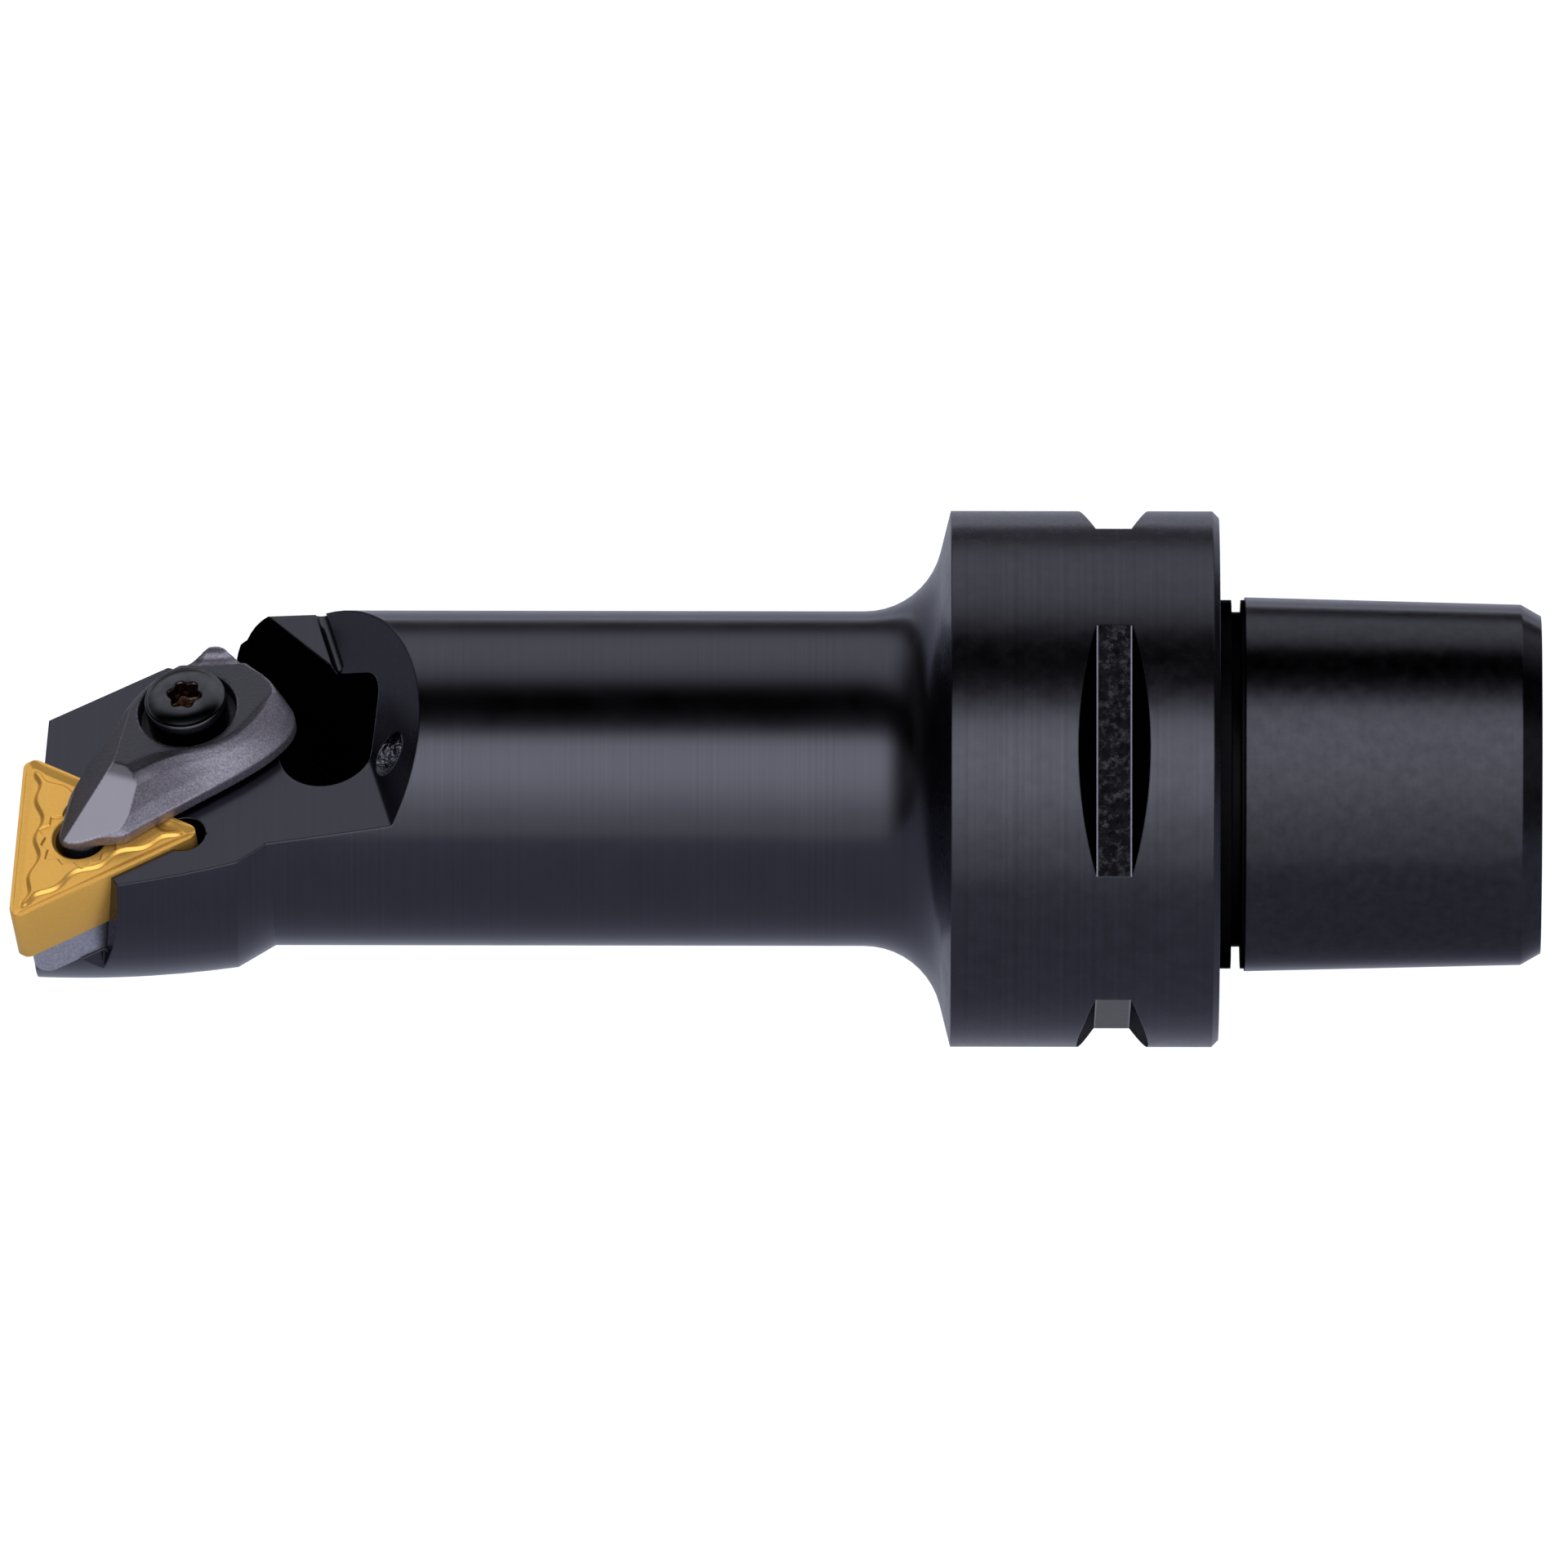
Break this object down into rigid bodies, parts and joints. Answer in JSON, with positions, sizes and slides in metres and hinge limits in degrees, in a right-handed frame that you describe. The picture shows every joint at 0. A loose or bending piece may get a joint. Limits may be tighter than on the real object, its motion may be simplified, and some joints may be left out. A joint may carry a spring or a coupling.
{
  "type": "boring bar",
  "caption": "Right-hand boring bar with a hollow polygonal taper shank and a triangular insert under a hooked top clamp.",
  "frame": {"origin": "centre of the gauge face, the flange's face on the shank's side, on the tool's axis", "axes": "+X along the tool's axis towards the shank; +Z normal to the reference plane, on the insert's rake side; the cutting corner stands out to -Y"},
  "size_m": [0.114, 0.04, 0.04],
  "materials": {
    "blackened_steel": "satin",
    "carbide": "satin",
    "coated_carbide": "satin",
    "sintered_steel": "matte",
    "screw_steel": "gloss",
    "spring_steel": "satin",
    "bright_steel": "satin"
  },
  "bodies": {
    "holder": {"tool_body": "blackened_steel", "shim": "carbide", "shim_screw": "screw_steel", "insert": "coated_carbide", "clamp_spring": "spring_steel", "coolant_jet": "bright_steel"},
    "top_clamp": {"clamp": "sintered_steel"},
    "screw": {"clamp_screw": "screw_steel"}
  },
  "joints": [
    {"name": "clamp_lift", "type": "slide", "parent": "holder", "child": "top_clamp", "axis": [-0.13, -0.1822, 0.9746], "range_m": [0, 0.0025], "deforming": ["clamp_spring"]},
    {"name": "screw_turn", "type": "hinge", "parent": "top_clamp", "child": "screw", "pos_m": [-0.07658, -0.00064, 0.00494], "axis": [-0.13, -0.1822, 0.9746], "range_deg": [0, 1290]}
  ],
  "couplings": [
    {"joint": "screw_turn", "follows": "clamp_lift", "rad_per_m": 8976}
  ]
}
